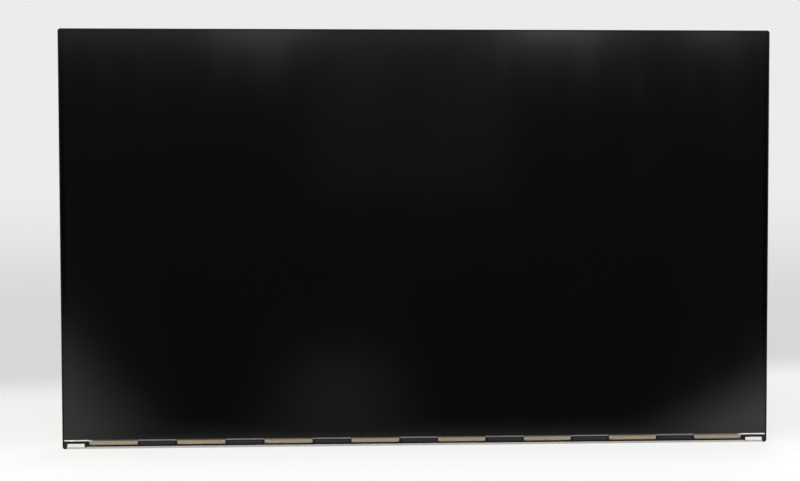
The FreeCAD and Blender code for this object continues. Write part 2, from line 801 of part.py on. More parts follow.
def cover_screw(x):
    y_head = y_foot + cover_t
    shank = upright_pin(x, z_screw, screw_radius, y_head - screw_length, y_head)
    head = upright_pin(x, z_screw, screw_head_radius, y_head, y_head + screw_head_height)
    y_face = y_head + screw_head_height
    long = recess_length / 2
    wide = recess_width / 2
    recess = [slab(x - dx, x + dx, y_face - recess_depth, y_face, z_screw - dz, z_screw + dz)
              for dx, dz in ((long, wide), (wide, long))]
    return head.fuse(shank).cut(recess).removeSplitter()


pieces = {
    "front_polarizer": front_polarizer(),
    "color_filter_glass": pane(half_cell, z_filter, z_cell_top, y_filter, y_array),
    "array_glass": pane(half_cell, z_array, z_cell_top, y_array, y_rear_polarizer),
    "rear_polarizer": rear_polarizer(),
    "panel_tape": panel_tape(),
    "mid_frame": mid_frame(),
    "corner_pad_left": corner_pad(-1),
    "corner_pad_right": corner_pad(1),
    "reflective_sheet": optical_sheet(y_reflective, y_prism),
    "prism_sheet": optical_sheet(y_prism, y_diffuser),
    "diffuser_sheet": optical_sheet(y_diffuser, y_guide),
    "light_guide": pane(half_guide, z_guide, z_guide_top, y_guide, y_reflector),
    "reflector_sheet": pane(half_guide, z_guide, z_guide_top, y_reflector, y_plate_front),
    "guide_stop_left": guide_stop(-1),
    "guide_stop_right": guide_stop(1),
    "led_tape": pane(half_led_board, z_tray_floor, z_led_board, y_led_board, y_led_back),
    "led_board": pane(half_led_board, z_led_board, z_tail, y_led_board, y_led_back),
    "led_packages": led_packages(),
    "led_tail": led_tail(),
    "back_cover": back_cover(),
    "board_tape": board_tape(),
    "source_board": source_board(),
    "timing_chip": board_chip(0.0, timing_size, timing_size, timing_t),
    "power_chip": board_chip(part_spacing, power_size, power_size, power_t),
    "memory_chip": board_chip(-part_spacing, memory_length, memory_width, memory_t),
    "coils": coils(),
    "capacitors": capacitors(),
    "signal_connector": signal_connector(),
    "signal_contacts": signal_contacts(),
    "signal_tabs": signal_tabs(),
    "led_connector": led_connector(),
    "led_contacts": led_contacts(),
    "cover_liner": cover_liner(),
    "board_cover": board_cover(),
    "cover_screws": Part.makeCompound([cover_screw(x) for x in foot_places]),
}
for number, film_x in enumerate(film_places, 1):
    pieces["driver_film_%d" % number] = driver_film(film_x)
    pieces["driver_chip_%d" % number] = driver_chip(film_x)

os.makedirs("parts", exist_ok=True)
for name, shape in pieces.items():
    shape.exportStep("parts/%s.step" % name)
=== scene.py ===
import math
import bpy
from mathutils import Matrix, Vector


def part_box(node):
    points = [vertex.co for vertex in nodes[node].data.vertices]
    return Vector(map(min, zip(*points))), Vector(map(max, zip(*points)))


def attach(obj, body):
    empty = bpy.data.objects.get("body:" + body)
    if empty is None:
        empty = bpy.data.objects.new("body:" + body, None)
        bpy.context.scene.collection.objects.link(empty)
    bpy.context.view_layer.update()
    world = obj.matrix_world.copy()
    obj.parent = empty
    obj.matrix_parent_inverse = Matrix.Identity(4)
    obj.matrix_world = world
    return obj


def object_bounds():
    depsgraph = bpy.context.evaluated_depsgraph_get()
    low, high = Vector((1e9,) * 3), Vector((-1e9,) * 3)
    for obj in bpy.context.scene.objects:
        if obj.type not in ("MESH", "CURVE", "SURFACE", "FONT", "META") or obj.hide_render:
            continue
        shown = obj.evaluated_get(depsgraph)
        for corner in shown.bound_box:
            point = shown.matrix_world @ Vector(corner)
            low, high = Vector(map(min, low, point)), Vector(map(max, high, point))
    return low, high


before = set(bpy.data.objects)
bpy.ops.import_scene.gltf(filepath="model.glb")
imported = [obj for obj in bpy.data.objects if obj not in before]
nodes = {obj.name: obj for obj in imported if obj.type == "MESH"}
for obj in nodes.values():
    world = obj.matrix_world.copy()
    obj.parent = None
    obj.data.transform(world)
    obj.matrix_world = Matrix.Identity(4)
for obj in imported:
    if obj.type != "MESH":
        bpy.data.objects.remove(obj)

mm = 0.001
cadLow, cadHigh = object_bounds()
print("frame loaded:", len(nodes), "nodes")


# Camera, where the photograph was taken from

cameraSpec = {
    "place": (-0.0501, -0.9123, 0.0217),
    "turn": 2.303,   # degrees to the right of straight ahead
    "tilt": 1.958,   # degrees down
    "roll": -0.145,
    "lens": 54.0,
    "sensor": 36.0,  # width, for an image 800 pixels wide
}


def addCamera(spec):
    turn, tilt, roll = (math.radians(spec[key]) for key in ("turn", "tilt", "roll"))
    ahead = Vector((math.sin(turn) * math.cos(tilt), math.cos(turn) * math.cos(tilt), -math.sin(tilt)))
    level = Vector((math.cos(turn), -math.sin(turn), 0.0))
    upright = level.cross(ahead)
    side = level * math.cos(roll) + upright * math.sin(roll)
    top = upright * math.cos(roll) - level * math.sin(roll)
    bpy.ops.object.camera_add()
    camera = bpy.context.object
    turned = Matrix((side, top, -ahead)).transposed().to_4x4()
    camera.matrix_world = Matrix.Translation(spec["place"]) @ turned
    camera.data.lens = spec["lens"]
    camera.data.sensor_width = spec["sensor"]
    bpy.context.scene.camera = camera


bpy.ops.object.select_all(action="DESELECT")
addCamera(cameraSpec)
bpy.context.scene.view_settings.view_transform = "Standard"
print("camera set")


# Node helpers

noiseSpan = (0.3, 0.7)  # most of a noise lies between these
wideSpan = (0.2, 0.8)   # and nearly all of it between these


def feed(tree, socket, source):  # links a socket, or sets a plain value
    if isinstance(source, bpy.types.NodeSocket):
        tree.links.new(source, socket)
    elif socket.type == "RGBA":
        socket.default_value = (*source, 1.0)
    else:
        socket.default_value = source


def addNode(tree, kind, sockets=None, **traits):
    node = tree.nodes.new("ShaderNode" + kind)
    for name, setting in traits.items():
        setattr(node, name, setting)
    for name, source in (sockets or {}).items():
        feed(tree, node.inputs[name], source)
    return node


def calc(tree, operation, *terms):
    node = addNode(tree, "Math", operation=operation)
    for socket, term in zip(node.inputs, terms):
        feed(tree, socket, term)
    return node.outputs[0]


def times(tree, product, *factors):
    for factor in factors:
        product = calc(tree, "MULTIPLY", product, factor)
    return product


def minus(tree, first, second):
    return calc(tree, "SUBTRACT", first, second)


def unsigned(tree, amount):  # without its sign
    return calc(tree, "ABSOLUTE", amount)


def within(tree, amount, low, high):
    return times(tree, calc(tree, "GREATER_THAN", amount, low), calc(tree, "LESS_THAN", amount, high))


def distance(tree, first, second):  # from offsets along two axes
    return calc(tree, "SQRT", calc(tree, "MULTIPLY_ADD", first, first, times(tree, second, second)))


def wave(tree, along, pitch, shape="SINE"):
    return calc(tree, shape, times(tree, along, 2 * math.pi / pitch))


def fade(tree, amount, start, end, low=0.0, high=1.0):  # smooth change from low to high
    limits = {"Value": amount, "From Min": start, "From Max": end, "To Min": low, "To Max": high}
    return addNode(tree, "MapRange", limits, interpolation_type="SMOOTHSTEP").outputs[0]


def vary(tree, amount, low, high):  # spreads a noise from low to high
    return fade(tree, amount, *noiseSpan, low, high)


def tint(tree, amount, first, second, how="MIX"):
    node = addNode(tree, "Mix", data_type="RGBA", blend_type=how)
    for socket, source in zip((node.inputs[0], node.inputs[6], node.inputs[7]), (amount, first, second)):
        feed(tree, socket, source)
    return node.outputs[2]


def spot(tree):  # where on the object
    return addNode(tree, "TexCoord").outputs["Object"]


def split(tree, vector):
    return addNode(tree, "SeparateXYZ", {"Vector": vector}).outputs


def facing(tree):  # share of each axis in the way a face looks
    return split(tree, addNode(tree, "NewGeometry").outputs["Normal"])


def edgeOn(tree):  # marks faces that look neither to the front nor to the back
    sideSpan = (0.9, 0.5)
    return fade(tree, unsigned(tree, facing(tree)["Y"]), *sideSpan)


def noise(tree, vector, scale, detail=3.0):
    return addNode(tree, "TexNoise", {"Vector": vector, "Scale": scale, "Detail": detail}).outputs["Fac"]


def cells(tree, width, output="Distance", **traits):
    return addNode(tree, "TexVoronoi", {"Vector": spot(tree), "Scale": 1 / width}, **traits).outputs[output]


def stretch(tree, vector, factors):
    node = addNode(tree, "VectorMath", operation="MULTIPLY")
    feed(tree, node.inputs[0], vector)
    feed(tree, node.inputs[1], factors)
    return node.outputs[0]


def bump(tree, height, depth, normal=None):
    node = addNode(tree, "Bump", {"Height": height, "Distance": depth, "Strength": 1.0})
    if normal:
        feed(tree, node.inputs["Normal"], normal)
    return node.outputs[0]


# Shared effects

def startGroup(name, takes, gives):
    group = bpy.data.node_groups.new(name, "ShaderNodeTree")
    for label, kind, usual in takes:
        socket = group.interface.new_socket(label, in_out="INPUT", socket_type="NodeSocket" + kind)
        socket.default_value = usual
    for label, kind in gives:
        group.interface.new_socket(label, in_out="OUTPUT", socket_type="NodeSocket" + kind)
    return group, group.nodes.new("NodeGroupInput").outputs, group.nodes.new("NodeGroupOutput").inputs


def use(tree, group, **settings):
    node = addNode(tree, "Group", node_tree=group)
    for name, source in settings.items():
        feed(tree, node.inputs[name], source)
    return node.outputs


def makeGrain():  # fine pits, and a slow drift of tone under them
    group, takes, gives = startGroup(
        "fineGrain",
        [("Size", "Float", 0.2 * mm), ("Stretch", "Vector", (1.0, 1.0, 1.0))],
        [("Height", "Float"), ("Drift", "Float")])
    driftShare = 0.02  # the drift is fifty times coarser than the pits
    scaled = stretch(group, spot(group), takes["Stretch"])
    scale = calc(group, "DIVIDE", 1.0, takes["Size"])
    feed(group, gives["Height"], noise(group, scaled, scale))
    feed(group, gives["Drift"], noise(group, scaled, times(group, scale, driftShare)))
    return group


def makeSoftEdge():  # rounds a sharp edge in the shading, and marks it
    group, takes, gives = startGroup(
        "softEdge", [("Radius", "Float", 0.1 * mm)], [("Normal", "Vector"), ("Mask", "Float")])
    wornSpan = (0.995, 0.80)  # cosines between the rounded and the flat normal
    rounded = addNode(group, "Bevel", {"Radius": takes["Radius"]}, samples=6).outputs[0]
    alike = addNode(group, "VectorMath", operation="DOT_PRODUCT")
    feed(group, alike.inputs[0], rounded)
    feed(group, alike.inputs[1], addNode(group, "NewGeometry").outputs["True Normal"])
    feed(group, gives["Normal"], rounded)
    feed(group, gives["Mask"], fade(group, alike.outputs["Value"], *wornSpan))
    return group


def makeMarks():  # faint wiped patches left by hands
    group, takes, gives = startGroup("handMarks", [("Size", "Float", 40 * mm)], [("Mask", "Float")])
    wipe = (6.0, 6.0, 1.0)   # strokes run up and down
    markSpan = (0.18, 0.42)  # how strong a mark has to be to show
    scale = calc(group, "DIVIDE", 1.0, takes["Size"])
    patches = noise(group, spot(group), scale, detail=4.0)
    wiped = noise(group, stretch(group, spot(group), wipe), scale)
    feed(group, gives["Mask"], fade(group, times(group, patches, wiped), *markSpan))
    return group


def makeRow():  # offset from the nearest of a row of like things along X
    group, takes, gives = startGroup(
        "rowOffset", [("First", "Float", 0.0), ("Pitch", "Float", 1.0)], [("Offset", "Float")])
    along = minus(group, split(group, spot(group))["X"], takes["First"])
    nearest = calc(group, "ROUND", calc(group, "DIVIDE", along, takes["Pitch"]))
    feed(group, gives["Offset"], minus(group, along, times(group, nearest, takes["Pitch"])))
    return group


grain = makeGrain()
softEdge = makeSoftEdge()
handMarks = makeMarks()
rowOffset = makeRow()
print("shared effects built")


# Materials

def newMaterial(name, metallic=0.0, specular=0.5, coat=0.0, coatRoughness=0.03):
    material = bpy.data.materials.new(name)
    material.use_nodes = True
    sockets = material.node_tree.nodes["Principled BSDF"].inputs
    sockets["Metallic"].default_value = metallic
    sockets["Specular IOR Level"].default_value = specular
    sockets["Coat Weight"].default_value = coat
    sockets["Coat Roughness"].default_value = coatRoughness
    return material, material.node_tree, sockets


def paint(tree, sockets, base, roughness, normal=None):
    feed(tree, sockets["Base Color"], base)
    feed(tree, sockets["Roughness"], roughness)
    if normal:
        feed(tree, sockets["Normal"], normal)


def dress(material, *names):
    for name in names:
        for holder in nodes[name].material_slots:
            holder.material = material


def rowOf(name, half, count):  # first middle and pitch of the like things in one node
    low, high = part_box(name)
    return low.x + half, (high.x - low.x - 2 * half) / (count - 1)


def offsetIn(tree, row):
    return use(tree, rowOffset, First=row[0], Pitch=row[1])["Offset"]


filmNames = sorted(name for name in nodes if name.startswith("driver_film"))
chipNames = sorted(name for name in nodes if name.startswith("driver_chip"))
filmLow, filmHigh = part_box(filmNames[0])
filmHalf = (filmHigh.x - filmLow.x) / 2
filmRow = (filmLow.x + filmHalf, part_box(filmNames[1])[0].x - filmLow.x)
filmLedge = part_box("array_glass")[0].z

screenLook = {
    "picture": (0.0025, 0.0029, 0.0024),  # unlit picture, a little green
    "border": (0.0012, 0.0013, 0.0012),   # black ring round the picture
    "sideBorder": 2.68 * mm,
    "topBorder": 2.70 * mm,
    "bottomBorder": 6.69 * mm,
    "borderSoft": 0.12 * mm,
    "roughness": 0.13,
    "wiped": 0.025,                       # more roughness where hands wiped it
    "wipeSize": 120 * mm,
    "grainSize": 0.12 * mm,
    "grainDepth": 0.0004 * mm,
}


def screenFilm(look):
    material, tree, sockets = newMaterial("matteScreenFilm", specular=0.26)
    low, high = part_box("front_polarizer")
    x, y, z = split(tree, spot(tree))
    soft = look["borderSoft"]
    halfPicture = high.x - look["sideBorder"]
    pictureLow = low.z + look["bottomBorder"]
    pictureHigh = high.z - look["topBorder"]
    across = fade(tree, unsigned(tree, x), halfPicture + soft, halfPicture)
    above = fade(tree, z, pictureLow - soft, pictureLow)
    below = fade(tree, z, pictureHigh + soft, pictureHigh)
    base = tint(tree, times(tree, across, above, below), look["border"], look["picture"])
    pits = use(tree, grain, Size=look["grainSize"])
    wiped = use(tree, handMarks, Size=look["wipeSize"])["Mask"]
    roughness = calc(tree, "MULTIPLY_ADD", wiped, look["wiped"], look["roughness"])
    paint(tree, sockets, base, roughness, bump(tree, pits["Height"], look["grainDepth"]))
    return material


plasticLook = {
    "base": (0.0125, 0.0112, 0.0118),
    "recess": (0.0040, 0.0036, 0.0038),  # painted shade on the set-back ends of the blocks and in the lines above and below them
    "recessDepth": (0.10 * mm, 0.28 * mm),
    "paintedBlockHighlight": (0.0238, 0.0215, 0.0224),   # painted highlight on the middle of each block's front
    "highlightRise": (2.75 * mm, 3.45 * mm),  # the painted highlight fades in and out between these heights
    "highlightFall": (5.45 * mm, 4.80 * mm),
    "blockHigh": 5.80 * mm,
    "blockReach": 243 * mm,              # the corner pieces start here
    "rim": (0.0070, 0.0062, 0.0066),     # thin edge round the glass
    "rimWidth": 1.2 * mm,
    "worn": (0.014, 0.0125, 0.013),      # polished corners of the moulding
    "roughness": (0.45, 0.55),
    "grainSize": 0.35 * mm,
    "grainDepth": 0.010 * mm,
    "edge": 0.06 * mm,
}


def blackPlastic(look):
    material, tree, sockets = newMaterial("mouldedBlackPlastic", specular=0.16)
    low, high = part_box("mid_frame")
    x, y, z = split(tree, spot(tree))
    aside = unsigned(tree, x)
    height = minus(tree, z, low.z)
    rim = calc(tree, "GREATER_THAN", aside, high.x - look["rimWidth"])
    plain = tint(tree, rim, look["base"], look["rim"])
    # painted shade along the top and bottom edges of each block, and a painted highlight across its middle
    middle = times(tree, fade(tree, height, *look["highlightRise"]), fade(tree, height, *look["highlightFall"]))
    paintedBlockShading = tint(tree, middle, look["recess"], look["paintedBlockHighlight"])
    block = times(tree, calc(tree, "LESS_THAN", height, look["blockHigh"]),
                  calc(tree, "LESS_THAN", aside, look["blockReach"]))
    # painted shade on faces set back from the frame's front
    deep = fade(tree, minus(tree, y, low.y), *look["recessDepth"])
    face = tint(tree, deep, tint(tree, block, plain, paintedBlockShading), look["recess"])
    pits = use(tree, grain, Size=look["grainSize"])
    edge = use(tree, softEdge, Radius=look["edge"])
    rubbed = times(tree, edge["Mask"], pits["Drift"])
    paint(tree, sockets, tint(tree, rubbed, face, look["worn"]),
          vary(tree, pits["Drift"], *look["roughness"]),
          bump(tree, pits["Height"], look["grainDepth"], edge["Normal"]))
    return material


ledgeLook = {
    "fan": (0.085, 0.070, 0.062),     # crowded tracks over each film
    "fanSoft": 1.2 * mm,
    "open": (0.43, 0.390, 0.396),     # sparse tracks between the films, with a painted glint in their grey
    "leftEndReflection": (0.95, 0.90, 0.78),    # bare ends of the ledge, pale with a painted reflection of the floor
    "rightEndReflection": (0.95, 0.84, 0.84),
    "endSpan": (244 * mm, 250 * mm),
    "trackPitch": 0.22 * mm,
    "trackTone": 0.8,                 # tone along the tracks, and how far it swings across them
    "trackSwing": 0.3,
    "spread": 14.0,                   # how fast the tracks fan out, per metre of height
    "metal": (0.20, 0.50),            # share of bare metal, on the tracks and at the ends
    "roughness": (0.42, 0.26),
    "endRoughness": 0.35,             # share of it left at the bare ends
    "edge": (0.30, 0.34, 0.33),       # ground edge of the glass
}


def glassLedge(look):
    material, tree, sockets = newMaterial("glassContactLedge", coat=1.0, coatRoughness=0.04)
    x, y, z = split(tree, spot(tree))
    offset = offsetIn(tree, filmRow)
    over = fade(tree, unsigned(tree, offset), filmHalf + look["fanSoft"], filmHalf)
    rise = calc(tree, "MULTIPLY_ADD", minus(tree, z, filmLedge), look["spread"], 1.0)
    tone, swing = look["trackTone"], look["trackSwing"]
    fanned = wave(tree, calc(tree, "DIVIDE", offset, rise), look["trackPitch"])
    lines = calc(tree, "MULTIPLY_ADD", fanned, swing, tone)
    tracks = tint(tree, 1.0, tint(tree, over, look["open"], look["fan"]), lines, "MULTIPLY")
    # painted reflection of the floor at the bare ends of the ledge
    end = tint(tree, calc(tree, "GREATER_THAN", x, 0.0), look["leftEndReflection"], look["rightEndReflection"])
    bare = fade(tree, unsigned(tree, x), *look["endSpan"])
    ground = edgeOn(tree)
    metal = fade(tree, bare, 0.0, 1.0, *look["metal"])
    feed(tree, sockets["Metallic"], times(tree, metal, minus(tree, 1.0, ground)))
    roughness = fade(tree, lines, tone - swing, tone + swing, *look["roughness"])
    paint(tree, sockets, tint(tree, ground, tint(tree, bare, tracks, end), look["edge"]),
          times(tree, roughness, fade(tree, bare, 0.0, 1.0, 1.0, look["endRoughness"])))
    return material


filterLook = {
    "face": (0.003, 0.003, 0.003),   # black ring seen through the glass
    "edge": (0.20, 0.25, 0.235),     # ground edge
    "frost": (0.32, 0.36, 0.35),
    "roughness": (0.16, 0.55),       # of the face and of the edge
    "grainSize": 0.15 * mm,
    "grainDepth": 0.006 * mm,
}


def filterGlass(look):
    material, tree, sockets = newMaterial("groundEdgeGlass", specular=0.20)
    ground = edgeOn(tree)
    pits = use(tree, grain, Size=look["grainSize"])
    frost = tint(tree, pits["Drift"], look["edge"], look["frost"])
    paint(tree, sockets, tint(tree, ground, look["face"], frost),
          fade(tree, ground, 0.0, 1.0, *look["roughness"]),
          bump(tree, times(tree, pits["Height"], ground), look["grainDepth"]))
    return material


filmLook = {
    "upper": (0.312, 0.245, 0.154),
    # painted highlight on the film's lower part
    "lower": (0.505, 0.425, 0.305),
    "turn": (2.4 * mm, -0.2 * mm),      # the film turns from its painted lower highlight to its upper tone between these depths below the glass edge
    "margin": (0.340, 0.290, 0.240),    # bare film beside the tracks
    "marginWidth": 1.7 * mm,
    "marginSoft": 0.4 * mm,
    "bundle": 4.5 * mm,                 # tracks run in bundles
    "gapSpan": (-0.97, -0.80),          # part of the bundle's wave that is a gap
    "gapShare": 0.5,                    # how bare the film is there
    "trackPitch": 0.16 * mm,
    "trackShade": 0.12,
    "trackDepth": 0.006 * mm,
    "cloudSize": 0.4 * mm,
    "cloud": (0.93, 1.07),
    "roughness": (0.46, 0.36),          # bare, and on the tracks
}


def amberFilm(look):
    material, tree, sockets = newMaterial("amberTrackFilm")
    z = split(tree, spot(tree))["Z"]
    offset = offsetIn(tree, filmRow)
    inner = filmHalf - look["marginWidth"]
    margin = fade(tree, unsigned(tree, offset), inner - look["marginSoft"], inner)
    gap = fade(tree, wave(tree, offset, look["bundle"], "COSINE"), *look["gapSpan"])
    tracks = times(tree, gap, minus(tree, 1.0, margin))
    lines = wave(tree, offset, look["trackPitch"])
    # painted highlight on the lower part of each film
    height = fade(tree, minus(tree, filmLedge, z), *look["turn"])
    shade = calc(tree, "MULTIPLY_ADD", lines, times(tree, tracks, look["trackShade"]), 1.0)
    copper = tint(tree, 1.0, tint(tree, height, look["lower"], look["upper"]), shade, "MULTIPLY")
    bare = calc(tree, "MAXIMUM", margin, times(tree, minus(tree, 1.0, gap), look["gapShare"]))
    drift = use(tree, grain, Size=look["cloudSize"])["Drift"]
    cloud = fade(tree, drift, *wideSpan, *look["cloud"])
    paint(tree, sockets, tint(tree, 1.0, tint(tree, bare, copper, look["margin"]), cloud, "MULTIPLY"),
          fade(tree, tracks, 0.0, 1.0, *look["roughness"]),
          bump(tree, times(tree, lines, tracks), look["trackDepth"]))
    return material


coverLook = {
    "base": (0.484, 0.481, 0.463),
    "bright": (0.572, 0.569, 0.551),
    "roughness": (0.25, 0.36),
    "marked": 0.08,                   # more roughness on hand marks
    "markSize": 60 * mm,
    "lineSize": 0.5 * mm,
    "lineStretch": (0.02, 1.0, 1.0),  # drawn out along X by the rolls
    "lineDepth": 0.004 * mm,
    "edge": 0.20 * mm,
    "edgeShare": 0.5,
}


def coverSheet(look):
    material, tree, sockets = newMaterial("rolledCoverSheet", metallic=1.0)
    rolled = use(tree, grain, Size=look["lineSize"], Stretch=look["lineStretch"])
    edge = use(tree, softEdge, Radius=look["edge"])
    marks = use(tree, handMarks, Size=look["markSize"])["Mask"]
    tone = tint(tree, vary(tree, rolled["Drift"], 0.0, 1.0), look["base"], look["bright"])
    lines = vary(tree, rolled["Height"], *look["roughness"])
    paint(tree, sockets, tint(tree, times(tree, edge["Mask"], look["edgeShare"]), tone, look["bright"]),
          calc(tree, "MULTIPLY_ADD", marks, look["marked"], lines),
          bump(tree, rolled["Height"], look["lineDepth"], edge["Normal"]))
    return material


steelLook = {
    "dark": (0.40, 0.41, 0.42),
    "light": (0.56, 0.57, 0.58),
    "spangle": 1.8 * mm,              # size of the zinc crystals
    "spangleShare": 0.16,
    "roughness": (0.32, 0.41),
    "marked": 0.10,
    "markSize": 90 * mm,
    "lineSize": 0.6 * mm,
    "lineStretch": (0.03, 1.0, 1.0),
    "lineDepth": 0.005 * mm,
    "edge": 0.35 * mm,
    "edgeTone": (0.68, 0.69, 0.70),
    "edgeShare": 0.6,
}


def backSteel(look):
    material, tree, sockets = newMaterial("zincCoatedSteel", metallic=1.0)
    flake = split(tree, cells(tree, look["spangle"], "Color"))["X"]
    rolled = use(tree, grain, Size=look["lineSize"], Stretch=look["lineStretch"])
    marks = use(tree, handMarks, Size=look["markSize"])["Mask"]
    edge = use(tree, softEdge, Radius=look["edge"])
    share = look["spangleShare"]
    mixed = calc(tree, "MULTIPLY_ADD", flake, share, times(tree, rolled["Drift"], 1 - share))
    tone = tint(tree, fade(tree, mixed, *wideSpan), look["dark"], look["light"])
    shine = fade(tree, flake, 0.0, 1.0, *look["roughness"])
    paint(tree, sockets, tint(tree, times(tree, edge["Mask"], look["edgeShare"]), tone, look["edgeTone"]),
          calc(tree, "MULTIPLY_ADD", marks, look["marked"], shine),
          bump(tree, rolled["Height"], look["lineDepth"], edge["Normal"]))
    return material


padLook = {
    "base": (0.82, 0.82, 0.81),
    "shade": (0.70, 0.70, 0.69),
    "shadeShare": 0.35,
    "cell": 0.25 * mm,
    "cellSpan": (0.1, 0.6),
    "depth": 0.02 * mm,
    "roughness": (0.62, 0.75),
    "edge": 0.25 * mm,
}


def whitePad(look):
    material, tree, sockets = newMaterial("whiteFoamPad", specular=0.3)
    foam = cells(tree, look["cell"])
    edge = use(tree, softEdge, Radius=look["edge"])
    pits = fade(tree, foam, *look["cellSpan"])
    paint(tree, sockets, tint(tree, times(tree, pits, look["shadeShare"]), look["base"], look["shade"]),
          fade(tree, pits, 0.0, 1.0, *look["roughness"]), bump(tree, foam, look["depth"], edge["Normal"]))
    return material


rearLook = {
    "base": (0.012, 0.012, 0.016),
    "rubbed": (0.030, 0.030, 0.035),
    "edge": 0.08 * mm,
    "roughness": (0.16, 0.22),
    "ripple": 18 * mm,       # slow waves of a thin film
    "rippleDepth": 0.02 * mm,
}


def rearFilm(look):
    material, tree, sockets = newMaterial("rearPolarizerFilm", coat=0.5, coatRoughness=0.08)
    ripples = noise(tree, spot(tree), 1 / look["ripple"])
    edge = use(tree, softEdge, Radius=look["edge"])
    paint(tree, sockets, tint(tree, edge["Mask"], look["base"], look["rubbed"]),
          vary(tree, ripples, *look["roughness"]), bump(tree, ripples, look["rippleDepth"], edge["Normal"]))
    return material


driverChipLook = {
    "face": (0.045, 0.050, 0.062),
    "cloud": (0.85, 1.15),
    "street": (0.105, 0.105, 0.115),  # lines between the circuit blocks
    "block": 1.6 * mm,
    "streetShare": 0.05,
    "grainSize": 0.03 * mm,
    "roughness": (0.18, 0.26),
    "edge": 0.04 * mm,
}


def driverChip(look):
    material, tree, sockets = newMaterial("polishedDriverChip", metallic=0.35)
    along = calc(tree, "DIVIDE", split(tree, spot(tree))["X"], look["block"])
    street = calc(tree, "LESS_THAN", calc(tree, "FRACT", along), look["streetShare"])
    drift = use(tree, grain, Size=look["grainSize"])["Drift"]
    face = tint(tree, 1.0, look["face"], vary(tree, drift, *look["cloud"]), "MULTIPLY")
    paint(tree, sockets, tint(tree, street, face, look["street"]), vary(tree, drift, *look["roughness"]),
          use(tree, softEdge, Radius=look["edge"])["Normal"])
    return material


tapeLook = {
    "base": (0.013, 0.013, 0.013),
    "thread": (0.024, 0.024, 0.024),
    "threadSpan": (-0.2, 0.9),
    "pitch": 0.32 * mm,     # threads of the tape's carrier
    "depth": 0.012 * mm,
    "grainSize": 0.3 * mm,
    "roughness": (0.70, 0.86),
}


def blackTape(look):
    material, tree, sockets = newMaterial("blackCarrierTape", specular=0.3)
    x, y, z = split(tree, spot(tree))
    weave = times(tree, wave(tree, x, look["pitch"]), wave(tree, z, look["pitch"]))
    drift = use(tree, grain, Size=look["grainSize"])["Drift"]
    paint(tree, sockets, tint(tree, fade(tree, weave, *look["threadSpan"]), look["base"], look["thread"]),
          vary(tree, drift, *look["roughness"]), bump(tree, weave, look["depth"]))
    return material


sheetLooks = {
    "reflective_sheet": {"tone": (0.70, 0.72, 0.75), "shade": (0.62, 0.64, 0.68), "roughness": (0.11, 0.21),
                         "ridge": 0.9 * mm, "depth": 0.001 * mm},
    "prism_sheet": {"tone": (0.76, 0.77, 0.77), "shade": (0.66, 0.67, 0.67), "roughness": (0.17, 0.27),
                    "ridge": 0.12 * mm, "depth": 0.030 * mm},
    "diffuser_sheet": {"tone": (0.80, 0.80, 0.79), "shade": (0.74, 0.74, 0.73), "roughness": (0.57, 0.67),
                       "ridge": 0.4 * mm, "depth": 0.004 * mm},
}
sheetGrain = 0.2 * mm


def opticalSheet(name, look):  # ridges run across the sheet, finer on some than on others
    material, tree, sockets = newMaterial(name.replace("_sheet", "Sheet"))
    sockets["Transmission Weight"].default_value = 0.35
    halfRidge = look["ridge"] / 2
    ridges = calc(tree, "PINGPONG", split(tree, spot(tree))["Z"], halfRidge)
    pits = use(tree, grain, Size=sheetGrain)
    paint(tree, sockets, tint(tree, pits["Drift"], look["tone"], look["shade"]),
          vary(tree, pits["Height"], *look["roughness"]),
          bump(tree, calc(tree, "DIVIDE", ridges, halfRidge), look["depth"]))
    return material


guideLook = {
    "clear": (0.86, 0.88, 0.87),
    "dot": (0.93, 0.93, 0.92),    # printed dots that let the light out
    "edge": (0.62, 0.72, 0.66),
    "dotPitch": 1.2 * mm,
    "dotLevel": (0.35, 0.55),
    "roughness": (0.06, 0.60),    # clear, and on the dots
}


def lightGuide(look):
    material, tree, sockets = newMaterial("dottedLightGuide", coat=0.4)
    sockets["Transmission Weight"].default_value = 0.7
    sockets["IOR"].default_value = 1.49
    x, y, z = split(tree, spot(tree))
    pitch = look["dotPitch"]
    grid = times(tree, wave(tree, x, pitch, "COSINE"), wave(tree, z, pitch, "COSINE"))
    flat = minus(tree, 1.0, edgeOn(tree))
    dots = times(tree, flat, fade(tree, grid, *look["dotLevel"]))
    body = tint(tree, flat, look["edge"], look["clear"])
    paint(tree, sockets, tint(tree, dots, body, look["dot"]), fade(tree, dots, 0.0, 1.0, *look["roughness"]))
    return material


reflectorLook = {
    "base": (0.86, 0.86, 0.86),
    "shade": (0.80, 0.80, 0.80),
    "bubble": 0.5 * mm,
    "bubbleSpan": (0.1, 0.7),
    "depth": 0.01 * mm,
    "roughness": (0.48, 0.62),
}


def whiteReflector(look):
    material, tree, sockets = newMaterial("whiteReflectorSheet", specular=0.4)
    bubbles = cells(tree, look["bubble"])
    paint(tree, sockets, tint(tree, fade(tree, bubbles, *look["bubbleSpan"]), look["base"], look["shade"]),
          fade(tree, bubbles, *look["bubbleSpan"], *look["roughness"]), bump(tree, bubbles, look["depth"]))
    return material


rubberLook = {
    "base": (0.58, 0.58, 0.56),
    "dust": (0.68, 0.68, 0.66),
    "grainSize": 0.25 * mm,
    "depth": 0.02 * mm,
    "roughness": (0.62, 0.78),
    "edge": 0.3 * mm,
}


def softRubber(look):
    material, tree, sockets = newMaterial("paleSiliconeRubber", specular=0.35)
    pits = use(tree, grain, Size=look["grainSize"])
    edge = use(tree, softEdge, Radius=look["edge"])
    paint(tree, sockets, tint(tree, pits["Drift"], look["base"], look["dust"]),
          vary(tree, pits["Height"], *look["roughness"]),
          bump(tree, pits["Height"], look["depth"], edge["Normal"]))
    return material


